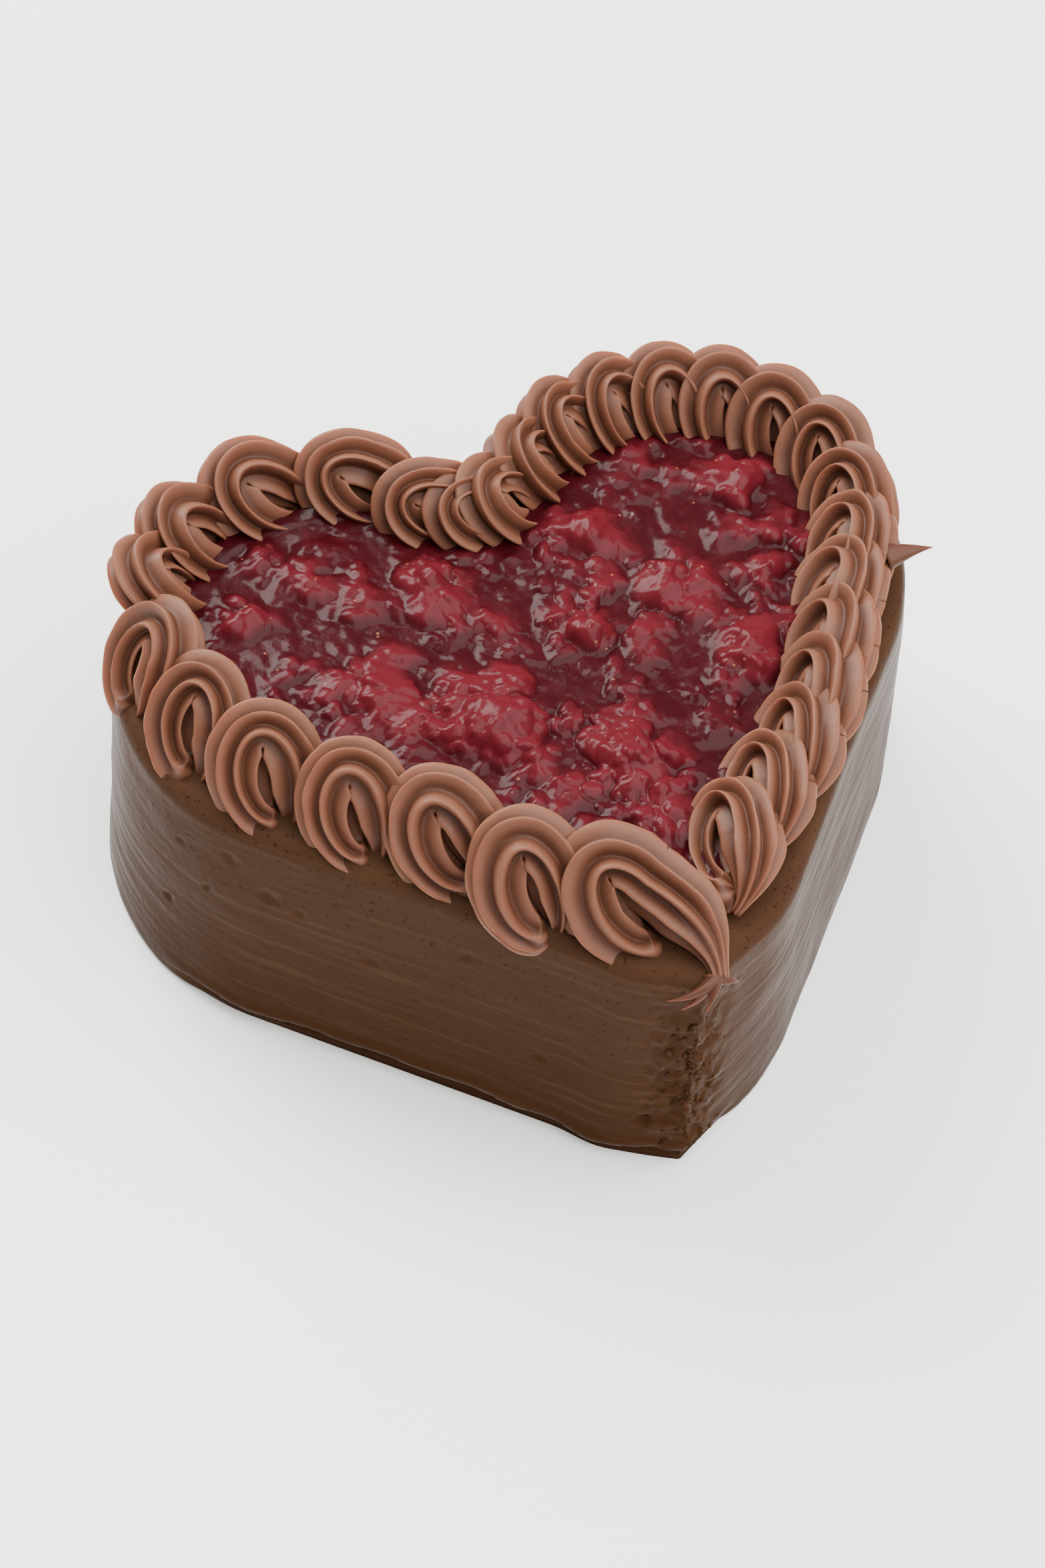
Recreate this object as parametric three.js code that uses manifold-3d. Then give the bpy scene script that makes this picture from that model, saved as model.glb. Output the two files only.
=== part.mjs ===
// A heart-shaped cake: a glazed heart block, a border of piped swirls laid one over the
// next from the cleft to the tip on both sides, and a lumpy fruit filling inside the border.
// Millimetres, +Z up. The origin is on the flat bottom, on the heart's axis of symmetry;
// the tip points to -Y and the cleft is on the +Y side.
import * as THREE from 'three';
import { mergeVertices } from 'three/addons/utils/BufferGeometryUtils.js';
import Module from 'manifold-3d';

const wasm = await Module();
wasm.setup();

// ---------------------------------------------------------------- driving dimensions
// A heart outline is two straight legs at 90 degrees, two round lobes and a fillet in the
// cleft. At the tip each leg bends by an arc of tipR into a short face, and the two faces
// meet in a corner of cornerR.
const CAKE_HEART = { apexY: -72, lobeX: 31, lobeR: 44, tipR: 27, cornerR: 2, cleftR: 8 };
const RING_HEART = { apexY: -55, lobeX: 33, lobeR: 32, tipR: 4, cornerR: 2, cleftR: 12.5 };
const CORNER_FACE = 28; // degrees between each short face and the cross direction
const CORNER_SHIFT = 4.2; // how far the cake's corner stands to the left
const CORNER_FROM = 48; // distance in front of the origin where that shift begins
const CORNER_REACH = 16; // and the length over which it grows

const CAKE_HEIGHT = 52; // top of the glazed block, under the border and the filling
const FOOT_CHAMFER = 1.2; // glaze drawn in where it meets the surface below
const WALL_LEAN = 3.4; // how far the wall leans in by its top edge
const TOP_ROUND = 3; // radius of the block's top edge

const SWIRL_CENTRE_Z = 59.4; // middle height of a swirl
const SWIRL_TILT = 45; // degrees between the loop's plane and the upright
const SWIRL_YAW = 14; // degrees that the loop's face turns toward the tip
const ROPE_R = 6; // radius of the star-shaped rope at its thickest
const ROPE_START_R = 4.4; // radius where the rope begins
const ROPE_TAIL_R = 0.9; // radius where the rope is pulled off
const STAR_RIDGES = 5; // ridges left by the star nozzle
const GROOVE_DEPTH = 0.26; // groove depth as a share of the rope's radius
const LOOP_START_R = 6.2; // from the loop's middle to the rope's line, at the start
const LOOP_TOP_R = 9; // the same over the head of the loop
const LOOP_WIDTH = 0.62; // width of the teardrop loop as a share of its length
const LOOP_SINK = 5.2; // how far the loop's middle lies under the swirl's place
const LEAD_LENGTH = 2; // how much further out the rope's start lies
const TAIL_LENGTH = 2.5; // how much further out the tail ends
const TIP_TAIL_LENGTH = 9; // the last left swirl's tail reaches the corner's top edge
const LOOP_START = -4; // degrees from the teardrop's tail to the start, clockwise after it
const LOOP_SWEEP = 350; // degrees that the rope turns, clockwise
const BEND_SHARE = 0.85; // on the inside of a bend the rope reaches this share of its radius
const SWIRL_STEPS = 12;

// The swirls from the cleft to the tip: distance along the border line, distance outside it,
// direction of the teardrop's tail (degrees; 0 is forward, -90 is down) and size.
const LEFT_SWIRLS = [
  [0.5, 0.5, -30, 0.72], [6.5, 3, -15, 0.84], [20, 4.2, -25, 0.92], [37, 4.2, -42, 0.93],
  [52, 2.5, -60, 0.9], [64, 1, -70, 0.88], [82, -3, -66, 0.88], [98, -5, -68, 0.9],
  [114, -3.4, -68, 0.92], [130, -2.3, -66, 0.9], [146, -3.2, -50, 0.92], [161, -0.2, -62, 0.93],
  [176.4, -3.4, -42, 0.98],
];
const RIGHT_SWIRLS = [
  [5, 0.5, -50, 0.84], [15, 0, -60, 0.86], [26, -0.4, -68, 0.88], [37, -0.8, -72, 0.9],
  [48, -0.8, -72, 0.9], [59, -0.6, -70, 0.9], [70.5, -0.6, -62, 0.9], [83, 0.4, -48, 0.9],
  [95.5, -0.5, -38, 0.9], [107.5, -1.4, -30, 0.9], [119, -0.4, -25, 0.9], [130, 1.8, -20, 0.9],
  [141, 3, -12, 0.9], [152, 3, -6, 0.88], [163.5, 1.4, 0, 0.88], [175, -0.2, 5, 0.88],
];

const BACKWARD = 6; // this many on the left were piped toward the cleft, and face the filling

const PEAK_SWIRL = 'swirl_right_10'; // this swirl was pulled into a peak on its outer side
const PEAK = { from: [2.6, 4.4, 2], to: [0.5, 12, 2.6], radius: 2.6 }; // forward, outward, up

const FILLING_LEVEL = 55.6;
const FILLING_EDGE = 2.2; // how far the filling stops inside the border line
const FILLING_STEP = 4.6; // spacing of the points on the filling's surface
// The largest lumps of fruit: x, y, radius, height above the level.
const LUMPS = [
  [-15, -2, 9, 4.2], [6, 10, 7, 2.6], [24, 13, 8, 3], [15, 29, 8, 2.8], [31, -6, 7, 2.2],
  [42, 10, 5, 3], [-13, 29, 7, 2.2], [-34, 38, 6, 2.2], [-45, 33, 6, 2.4], [-34, 12, 7, 2.4],
  [3, -20, 10, 3.2], [-12, -14, 6, 2.6], [48, 30, 7, 2.4], [-27, 1, 6, 1.8],
];

const GAP = 0.4; // clearance between solids that touch
const TIDY = 0.2; // slivers smaller than this are merged after a cut
const FILLING_TIDY = 0.4;

const DEG = Math.PI / 180;
const UP = new THREE.Vector3(0, 0, 1);

// ---------------------------------------------------------------- outlines
function arc(cx, cy, radius, from, to, steps) {
  return Array.from({ length: steps + 1 }, (_, i) => {
    const a = from + ((to - from) * i) / steps;
    return [cx + radius * Math.cos(a), cy + radius * Math.sin(a)];
  });
}

// Right half of a heart outline, from the tip to the cleft, moved out by `offset`.
function heartHalf(heart, offset, { corner, tip, leg, lobe, cleft }) {
  const { apexY, lobeX, lobeR, tipR, cornerR, cleftR } = heart;
  const lobeY = apexY + lobeX + Math.SQRT2 * lobeR;
  const cleftY = lobeY + Math.sqrt((lobeR + cleftR) ** 2 - lobeX ** 2);
  const meet = Math.atan2(cleftY - lobeY, -lobeX); // lobe and cleft fillet touch here
  const tipY = apexY + Math.SQRT2 * tipR;
  const face = CORNER_FACE * DEG;
  const round = Math.max(0.3, cornerR + offset);
  const cornerY = tipY - (tipR + offset - round) / Math.cos(face);
  const low = [
    ...arc(0, cornerY, round, -Math.PI / 2, face - Math.PI / 2, corner),
    ...arc(0, tipY, tipR + offset, face - Math.PI / 2, -Math.PI / 4, tip),
  ];
  const high = [
    ...arc(lobeX, lobeY, lobeR + offset, -Math.PI / 4, meet, lobe),
    ...arc(0, cleftY, cleftR - offset, meet - Math.PI, -Math.PI / 2, cleft).slice(1),
  ];
  const [a, b] = [low.at(-1), high[0]];
  const between = Array.from({ length: leg - 1 }, (_, i) => {
    const k = (i + 1) / leg;
    return [a[0] + (b[0] - a[0]) * k, a[1] + (b[1] - a[1]) * k];
  });
  return [...low, ...between, ...high];
}

// Whole outline, counterclockwise seen from above, starting at the tip.
function heartOutline(heart, offset, steps) {
  const right = heartHalf(heart, offset, steps);
  const left = right.slice(1, -1).reverse().map(([x, y]) => [-x, y]);
  return [...right, ...left];
}

// ---------------------------------------------------------------- solids
// Joins rings of equally many points into a closed skin. Each ring runs counterclockwise
// seen from the end of the loft, and both ends close on a centre point.
function loft(rings, startCentre, endCentre) {
  const n = rings[0].length;
  const points = [...rings.flat(), startCentre, endCentre];
  const [start, end] = [rings.length * n, rings.length * n + 1];
  const triangles = [];
  for (let j = 0; j < n; j += 1) {
    const k = (j + 1) % n;
    for (let i = 0; i + 1 < rings.length; i += 1) {
      const [a, b, c, d] = [i * n + j, i * n + k, (i + 1) * n + k, (i + 1) * n + j];
      triangles.push(a, b, c, a, c, d);
    }
    triangles.push(start, k, j, end, end - 1 - n + j, end - 1 - n + k);
  }
  return solid(points, triangles);
}

function solid(points, triangles) {
  const vertProperties = new Float32Array(points.flatMap((p) => [p.x, p.y, p.z]));
  const mesh = new wasm.Mesh({ numProp: 3, vertProperties, triVerts: new Uint32Array(triangles) });
  return new wasm.Manifold(mesh);
}

function largestBody(body) {
  return body.decompose().sort((a, b) => b.volume() - a.volume())[0];
}

function toMesh(name, body, material) {
  const { vertProperties, triVerts } = body.getMesh();
  const geometry = new THREE.BufferGeometry();
  geometry.setAttribute('position', new THREE.BufferAttribute(new Float32Array(vertProperties), 3));
  geometry.setIndex(Array.from(triVerts));
  const mesh = new THREE.Mesh(mergeVertices(geometry, 1e-3), material);
  mesh.geometry.computeVertexNormals();
  mesh.name = name;
  return mesh;
}

const at = (outline, z) => outline.map(([x, y]) => new THREE.Vector3(x, y, z));

const smooth = (x) => THREE.MathUtils.smoothstep(x, 0, 1);

// ---------------------------------------------------------------- the glazed block
// The wall's profile: how far each height lies outside the foot outline.
function wallProfile() {
  const rounding = Array.from({ length: 4 }, (_, i) => {
    const a = (i * Math.PI) / 6;
    return [
      -WALL_LEAN - TOP_ROUND * (1 - Math.cos(a)),
      CAKE_HEIGHT - TOP_ROUND * (1 - Math.sin(a)),
    ];
  });
  return [[-FOOT_CHAMFER, 0], [0, FOOT_CHAMFER], [-WALL_LEAN / 2, CAKE_HEIGHT / 2], ...rounding];
}

const leftShift = (y) => CORNER_SHIFT * smooth((-y - CORNER_FROM) / CORNER_REACH);

function cakeBlock(grow = 0) {
  const steps = { corner: 1, tip: 2, leg: 3, lobe: 16, cleft: 4 };
  const rings = wallProfile().map(([out, z]) => {
    const outline = heartOutline(CAKE_HEART, out + grow, steps);
    return at(outline.map(([x, y]) => [x - leftShift(y), y]), z);
  });
  const lift = new THREE.Vector3(0, 0, grow);
  rings.at(-1).forEach((p) => p.add(lift));
  return loft(rings, new THREE.Vector3(), new THREE.Vector3(0, 0, CAKE_HEIGHT + grow));
}

// ---------------------------------------------------------------- the piped border
const ringSteps = { corner: 2, tip: 4, leg: 2, lobe: 60, cleft: 12 };
const ringLine = heartHalf(RING_HEART, 0, ringSteps).reverse();
const ringLengths = ringLine.reduce((sums, p, i) => {
  const step = i ? Math.hypot(p[0] - ringLine[i - 1][0], p[1] - ringLine[i - 1][1]) : 0;
  return [...sums, (sums.at(-1) ?? 0) + step];
}, []);

// Place and heading on the border line; side is 1 on the right and -1 on the left.
function onRing(side, distance) {
  const i = Math.max(1, ringLengths.findIndex((s) => s >= distance));
  const [a, b] = [ringLine[i - 1], ringLine[i]];
  const k = (distance - ringLengths[i - 1]) / (ringLengths[i] - ringLengths[i - 1]);
  const heading = new THREE.Vector3(side * (b[0] - a[0]), b[1] - a[1], 0).normalize();
  const place = new THREE.Vector3(side * (a[0] + (b[0] - a[0]) * k), a[1] + (b[1] - a[1]) * k, 0);
  return { place, heading };
}

// A small repeatable unevenness of the hand, between -1 and 1.
const unevenness = (n) => Math.sin(n * 12.9898) * Math.cos(n * 4.1414);

const blend = (u, a, v, b) => u.clone().multiplyScalar(a).addScaledVector(v, b);

// Axes of one loop: forward along the border, up in the loop's plane, and out of its face.
// The face looks to the right of the heading, up, and a little toward the tip.
function loopFrame(side, way, distance, outside, seed) {
  const { place, heading } = onRing(side, distance);
  heading.multiplyScalar(way);
  const right = new THREE.Vector3(heading.y, -heading.x, 0);
  const tilt = (SWIRL_TILT + 3 * unevenness(seed)) * DEG;
  const yaw = (SWIRL_YAW + 3 * unevenness(seed + 0.5)) * DEG;
  const slope = blend(right, Math.cos(tilt), UP, Math.sin(tilt));
  const face = blend(slope, Math.cos(yaw), heading, Math.sin(yaw));
  const forward = blend(heading, Math.cos(yaw), slope, -Math.sin(yaw));
  const up = face.clone().cross(forward);
  place.addScaledVector(right, -side * way * outside).setZ(SWIRL_CENTRE_Z);
  return { place, forward, up, face };
}

// The rope's line in the loop's plane: a teardrop that starts by the teardrop's tail, goes
// back and round the head, and ends in the tail. `t` runs from 0 at the start to 1.
function ropePoint(t, { frame, size, axis, tailLength }) {
  const angle = (LOOP_START - LOOP_SWEEP * t) * DEG;
  const tail = Math.max(0, (t - 0.72) / 0.28);
  const lead = Math.max(0, 1 - t / 0.25);
  const radius = size * (LOOP_START_R + (LOOP_TOP_R - LOOP_START_R) * smooth(t / 0.6))
    + tailLength * tail ** 1.6 + LEAD_LENGTH * lead ** 1.6;
  const long = radius * Math.cos(angle);
  const wide = LOOP_WIDTH * radius * Math.sin(angle);
  const [cos, sin] = [Math.cos(axis * DEG), Math.sin(axis * DEG)];
  return frame.place.clone()
    .addScaledVector(frame.forward, long * cos - wide * sin)
    .addScaledVector(frame.up, long * sin + wide * cos - LOOP_SINK * size)
    .addScaledVector(frame.face, -1.2 * (1 - smooth(t / 0.4)) - 2.2 * tail);
}

function ropeRadius(t, size) {
  const full = ROPE_START_R + (ROPE_R - ROPE_START_R) * smooth(t / 0.45);
  const taper = 1 - smooth((t - 0.78) / 0.22);
  return size * full * taper + ROPE_TAIL_R * (1 - taper);
}

function ropeHeading(t, swirl) {
  return ropePoint(t + 1e-3, swirl).sub(ropePoint(t - 1e-3, swirl)).normalize();
}

// How the rope's line bends at t: points to the bend's middle, its length is 1 / radius.
function ropeBend(t, swirl) {
  const length = ropePoint(t + 0.02, swirl).distanceTo(ropePoint(t - 0.02, swirl));
  return ropeHeading(t + 0.02, swirl).sub(ropeHeading(t - 0.02, swirl)).divideScalar(length);
}

// The star-shaped rope between t0 and t1, squeezed flat on the inside of sharp bends. With
// `grow` it is the plain tube through the star's ridges, that much fatter and longer.
function ropePiece(swirl, t0, t1, steps, grow) {
  const corners = grow ? STAR_RIDGES : 2 * STAR_RIDGES;
  const rings = [];
  const centres = [];
  for (let i = 0; i <= steps; i += 1) {
    const t = t0 + ((t1 - t0) * i) / steps;
    const centre = ropePoint(t, swirl);
    const along = ropeHeading(t, swirl);
    const out = blend(swirl.frame.face, 1, along, -along.dot(swirl.frame.face)).normalize();
    const across = out.clone().cross(along);
    const bend = ropeBend(t, swirl);
    const end = (t === 1 ? grow : 0) - (t === 0 ? grow : 0);
    centre.addScaledVector(along, end);
    const radius = ropeRadius(t, swirl.size);
    rings.push(Array.from({ length: corners }, (_, j) => {
      const a = (j * 2 * Math.PI) / corners;
      const reach = radius * (!grow && j % 2 ? 1 - GROOVE_DEPTH : 1);
      const direction = blend(out, Math.cos(a), across, -Math.sin(a));
      const squeeze = Math.max(1, (reach * direction.dot(bend)) / BEND_SHARE);
      return direction.multiplyScalar(reach / squeeze + grow).add(centre);
    }));
    centres.push(centre);
  }
  return loft(rings, centres[0], centres.at(-1));
}

// A pulled peak: a thin cone from inside the rope to a point outside the border.
function peakSolid({ frame }, grow) {
  const heading = frame.forward.clone().setZ(0).normalize();
  const outward = new THREE.Vector3(-heading.y, heading.x, 0);
  const reach = ([ahead, out, rise]) => frame.place.clone()
    .addScaledVector(heading, ahead).addScaledVector(outward, out).addScaledVector(UP, rise);
  const [base, point] = [reach(PEAK.from), reach(PEAK.to)];
  const along = point.clone().sub(base).normalize();
  const across = UP.clone().cross(along).normalize();
  const over = along.clone().cross(across);
  const rings = [[0, 1], [0.55, 0.55], [0.97, 0.12]].map(([k, width]) => (
    Array.from({ length: 7 }, (_, j) => {
      const a = (j * 2 * Math.PI) / 7;
      const reachOut = PEAK.radius * width + grow;
      return base.clone().lerp(point, k)
        .addScaledVector(across, reachOut * Math.cos(a))
        .addScaledVector(over, reachOut * Math.sin(a));
    })
  ));
  return loft(rings, base, point);
}

// A swirl is made in two halves that share a section, so that its strands may touch.
function swirlSolid(swirl, grow = 0) {
  const half = 0.5;
  const steps = Math.round(SWIRL_STEPS / 2);
  const rope = ropePiece(swirl, 0, half, steps, grow)
    .add(ropePiece(swirl, half, 1, SWIRL_STEPS - steps, grow));
  return swirl.name === PEAK_SWIRL ? rope.add(peakSolid(swirl, grow)) : rope;
}

function describeSwirls(side, swirls) {
  return swirls.map(([distance, outside, axis, size], i) => {
    const seed = i + (side > 0 ? 40 : 3);
    const way = side < 0 && i < BACKWARD ? -1 : 1;
    return {
      name: `swirl_${side > 0 ? 'right' : 'left'}_${String(i + 1).padStart(2, '0')}`,
      frame: loopFrame(side, way, distance, outside, seed),
      size,
      axis,
      tailLength: TAIL_LENGTH,
    };
  });
}

// ---------------------------------------------------------------- the fruit filling
function fillingHeight(x, y) {
  const lumps = LUMPS.reduce((sum, [cx, cy, radius, height]) => {
    const d2 = ((x - cx) ** 2 + (y - cy) ** 2) / radius ** 2;
    return sum + height * Math.exp(-2 * d2);
  }, 0);
  const wide = 0.45 * Math.sin(x * 0.71 + 1) * Math.sin(y * 0.83);
  const fine = 0.3 * Math.sin(x * 1.3 - y * 1.1);
  return FILLING_LEVEL + lumps + wide + fine;
}

// A slab with the uneven top, row by row along Y, cut to the heart inside the border.
function fruitFilling() {
  const bottom = CAKE_HEIGHT + GAP;
  const halfWidth = RING_HEART.lobeX + RING_HEART.lobeR;
  const columns = Math.round((2 * halfWidth) / FILLING_STEP);
  const rows = Math.round((2 * halfWidth) / FILLING_STEP);
  const point = (i, y, z) => {
    const x = -halfWidth + (2 * halfWidth * i) / columns;
    return new THREE.Vector3(x, y, z ?? fillingHeight(x, y));
  };
  const rings = Array.from({ length: rows + 1 }, (_, j) => {
    const y = -halfWidth + (2 * halfWidth * j) / rows;
    const top = Array.from({ length: columns + 1 }, (__, i) => point(i, y));
    return [...top, point(columns, y, bottom), point(0, y, bottom)];
  });
  const ends = [-halfWidth, halfWidth].map((y) => new THREE.Vector3(0, y, bottom + 1));
  const slab = loft(rings, ...ends);
  const steps = { corner: 1, tip: 1, leg: 1, lobe: 14, cleft: 3 };
  const outline = heartOutline(RING_HEART, -FILLING_EDGE, steps);
  const [low, high] = [CAKE_HEIGHT, CAKE_HEIGHT + 15];
  const middles = [low, high].map((z) => new THREE.Vector3(0, 0, z));
  return slab.intersect(loft([at(outline, low), at(outline, high)], ...middles));
}

// ---------------------------------------------------------------- assembly
const glaze = new THREE.MeshStandardMaterial({ color: 0x5a4234, roughness: 0.4, metalness: 0 });
const buttercream = new THREE.MeshStandardMaterial({ color: 0xa0705c, roughness: 0.55, metalness: 0 });
const fruit = new THREE.MeshStandardMaterial({ color: 0x6e1c26, roughness: 0.2, metalness: 0 });

const left = describeSwirls(-1, LEFT_SWIRLS);
const right = describeSwirls(1, RIGHT_SWIRLS);
left.at(-1).tailLength = TIP_TAIL_LENGTH;

// Topmost first: each swirl is cut by those that lie over it. The backward ones were piped
// first, then the right side, then the rest of the left.
const topmostFirst = [
  ...left.slice(BACKWARD).reverse(), ...right.slice().reverse(), ...left.slice(0, BACKWARD),
];
const block = cakeBlock();
const grownBlock = cakeBlock(GAP);
const REACH = 34; // no two swirls further apart than this can touch
const placed = [];
for (const swirl of topmostFirst) {
  let body = swirlSolid(swirl).subtract(grownBlock);
  for (const over of placed) {
    const apart = over.swirl.frame.place.distanceTo(swirl.frame.place);
    if (apart < REACH) body = body.subtract(over.grown);
  }
  body = largestBody(body.simplify(TIDY));
  placed.push({ swirl, body, grown: swirlSolid(swirl, GAP) });
}

const filling = largestBody(
  placed.reduce((body, { grown }) => body.subtract(grown), fruitFilling()).simplify(FILLING_TIDY),
);

const cake = new THREE.Group();
cake.add(toMesh('cake_block', block, glaze));
cake.add(toMesh('fruit_filling', filling, fruit));
placed
  .sort((a, b) => a.swirl.name.localeCompare(b.swirl.name))
  .forEach(({ swirl, body }) => cake.add(toMesh(swirl.name, body, buttercream)));

export default cake;
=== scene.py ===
"""A heart-shaped cake: a glazed block, a border of piped swirls and a glossy fruit filling."""

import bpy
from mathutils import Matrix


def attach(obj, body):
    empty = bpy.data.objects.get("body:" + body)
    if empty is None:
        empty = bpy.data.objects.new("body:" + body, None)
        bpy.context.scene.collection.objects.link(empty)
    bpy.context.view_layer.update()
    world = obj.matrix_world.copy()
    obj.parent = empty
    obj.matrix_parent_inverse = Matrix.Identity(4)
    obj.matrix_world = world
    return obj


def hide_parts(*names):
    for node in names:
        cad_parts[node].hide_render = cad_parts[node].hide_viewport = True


bl_info = {
    "name": "Heart-shaped cake",
    "version": (1, 0, 0),
    "blender": (4, 5, 0),
    "location": "View3D > Sidebar > Cake",
    "description": "Makes a glazed heart-shaped cake with piped swirls and a fruit filling",
    "category": "Add Mesh",
}

import math

import bpy
import numpy as np
from mathutils import Matrix, Vector

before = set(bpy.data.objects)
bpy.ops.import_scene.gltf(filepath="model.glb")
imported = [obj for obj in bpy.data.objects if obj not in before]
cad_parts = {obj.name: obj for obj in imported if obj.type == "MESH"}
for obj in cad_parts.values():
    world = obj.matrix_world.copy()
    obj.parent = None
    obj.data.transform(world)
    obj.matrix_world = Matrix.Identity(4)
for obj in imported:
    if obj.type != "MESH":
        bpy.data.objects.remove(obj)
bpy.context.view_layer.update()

MM = 1000.0  # shapes are worked out in millimetres and put into meshes in metres

# Heart outlines: where the lines of the two legs meet, the lobes' centres and radius, and the
# radii of the arc that bends each leg into a short face at the tip, of the corner where the two
# short faces meet, and of the cleft.
CAKE_HEART = {
    "apex_y": -72.0, "lobe_x": 31.0, "lobe_r": 44.0, "tip_r": 27.0, "corner_r": 2.0, "cleft_r": 8.0,
}
BORDER_HEART = {
    "apex_y": -55.0, "lobe_x": 33.0, "lobe_r": 32.0, "tip_r": 4.0, "corner_r": 2.0, "cleft_r": 12.5,
}
CORNER_FACE = math.radians(28.0)  # angle between each short face and the cross direction
CORNER_SHIFT = 4.2  # how far the cake's corner stands to the left
CORNER_FROM, CORNER_REACH = 48.0, 16.0  # where in front of the origin that shift grows

# The swirls from the cleft to the tip: distance along the border line, distance outside it,
# direction of the teardrop's tail (degrees; 0 is forward, -90 is down) and size.
LEFT_SWIRLS = [
    (0.5, 0.5, -30, 0.72), (6.5, 3, -15, 0.84), (20, 4.2, -25, 0.92), (37, 4.2, -42, 0.93),
    (52, 2.5, -60, 0.9), (64, 1, -70, 0.88), (82, -3, -66, 0.88), (98, -5, -68, 0.9),
    (114, -3.4, -68, 0.92), (130, -2.3, -66, 0.9), (146, -3.2, -50, 0.92), (161, -0.2, -62, 0.93),
    (176.4, -3.4, -42, 0.98),
]
RIGHT_SWIRLS = [
    (5, 0.5, -50, 0.84), (15, 0, -60, 0.86), (26, -0.4, -68, 0.88), (37, -0.8, -72, 0.9),
    (48, -0.8, -72, 0.9), (59, -0.6, -70, 0.9), (70.5, -0.6, -62, 0.9), (83, 0.4, -48, 0.9),
    (95.5, -0.5, -38, 0.9), (107.5, -1.4, -30, 0.9), (119, -0.4, -25, 0.9), (130, 1.8, -20, 0.9),
    (141, 3, -12, 0.9), (152, 3, -6, 0.88), (163.5, 1.4, 0, 0.88), (175, -0.2, 5, 0.88),
]
TIP_PULL = (2.9, -3.4, 7.6)  # how far the last swirl's tail is pulled, over the cake's corner
BACKWARD = 6  # this many on the left were piped toward the cleft, and face the filling

# The largest lumps of fruit: x, y, radius, height above the level.
LUMPS = [
    (-15, -2, 9, 4.2), (6, 10, 7, 2.6), (24, 13, 8, 3), (15, 29, 8, 2.8), (31, -6, 7, 2.2),
    (42, 10, 5, 3), (-13, 29, 7, 2.2), (-34, 38, 6, 2.2), (-45, 33, 6, 2.4), (-34, 12, 7, 2.4),
    (3, -20, 10, 3.2), (-12, -14, 6, 2.6), (48, 30, 7, 2.4), (-27, 1, 6, 1.8),
]


# ------------------------------------------------------------------ sizes and colours
def length(name, description, default):
    return bpy.props.FloatProperty(name=name, description=description, default=default, unit="LENGTH")


def share(name, description, default):
    return bpy.props.FloatProperty(
        name=name, description=description, default=default, min=0.0, max=1.0, subtype="FACTOR"
    )


def turn(name, description, degrees):
    return bpy.props.FloatProperty(
        name=name, description=description, default=math.radians(degrees), subtype="ANGLE"
    )


def colour(name, description, default):
    return bpy.props.FloatVectorProperty(
        name=name, description=description, default=default, size=3, subtype="COLOR", min=0.0, max=1.0
    )


class CakeBlockSettings(bpy.types.PropertyGroup):
    """The glazed block under the border and the filling."""

    height: length("Height", "Height of the block's flat top", 0.052)
    foot_chamfer: length("Foot", "How far the glaze draws in at the foot", 0.0012)
    lean: length("Lean", "How far the wall leans in by its top edge", 0.0034)
    top_round: length("Top edge", "Radius of the top edge", 0.003)
    low_colour: colour("Low glaze", "Glaze near the foot", (0.036, 0.0138, 0.0048))
    # Near the top the glaze is paler and greyer: its own colour with a painted reflection of the pale
    # room.
    high_glaze_and_sheen: colour("High glaze", "Glaze near the border", (0.047, 0.0222, 0.0124))
    streak_colour: colour("Streaks", "Paler marks of the spatula", (0.068, 0.034, 0.0165))
    speck_colour: colour("Specks", "Dark specks and pinholes", (0.014, 0.005, 0.0018))
    roughness: share("Roughness", "Roughness of the glaze", 0.36)
    crumbs: bpy.props.IntProperty(name="Crumbs", description="Crumbs on the rough corner", default=120)


class CakeBorderSettings(bpy.types.PropertyGroup):
    """The piped swirls."""

    centre_height: length("Height", "Middle height of a swirl", 0.0594)
    tilt: turn("Tilt", "Angle between the loop's plane and the upright", 45)
    yaw: turn("Yaw", "How far the loop's face turns toward the tip", 14)
    rope_radius: length("Rope", "Radius of the rope at its thickest", 0.006)
    start_radius: length("Rope start", "Radius where the rope begins", 0.0044)
    end_radius: length("Rope end", "Radius where the rope is pulled off", 0.0009)
    loop_start: length("Loop start", "From the loop's middle to the rope's line at its start", 0.0062)
    loop_top: length("Loop head", "The same over the head of the loop", 0.009)
    loop_width: share("Loop width", "Width of the teardrop loop as a share of its length", 0.62)
    loop_sink: length("Loop sink", "How far the loop's middle lies under the swirl's place", 0.0052)
    lead: length("Lead", "How much further out the rope's start lies", 0.002)
    tail: length("Tail", "How much further out the tail ends", 0.0025)
    tip_tail: length("Tail at the tip", "The same on the last swirl on the left", 0.009)
    ridges: bpy.props.IntProperty(name="Ridges", description="Ridges left by the nozzle", default=8)
    groove: share("Grooves", "Groove depth as a share of the rope's radius", 0.44)
    # The crest and groove colours are painted light and shade: paler on the lit crests, darker as
    # painted shade down in the grooves.
    lit_crest_colour: colour("Crests", "Buttercream on the ridges", (0.155, 0.061, 0.0345))
    shaded_groove_colour: colour("Grooves", "Buttercream down in the grooves", (0.068, 0.022, 0.011))
    roughness: share("Roughness", "Roughness of the buttercream", 0.47)


class CakeFillingSettings(bpy.types.PropertyGroup):
    """The cooked fruit inside the border."""

    level: length("Level", "Height of the syrup between the lumps", 0.0556)
    edge: length("Edge", "How far the filling stops inside the border line", 0.0022)
    chunks: bpy.props.IntProperty(name="Chunks", description="Middling pieces of fruit", default=420)
    syrup_colour: colour("Syrup", "Syrup between the lumps", (0.027, 0.002, 0.0034))
    fruit_colour: colour("Fruit", "Flesh of the fruit", (0.084, 0.0072, 0.0112))
    roughness: share("Roughness", "Roughness of the wet surface", 0.2)


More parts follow.
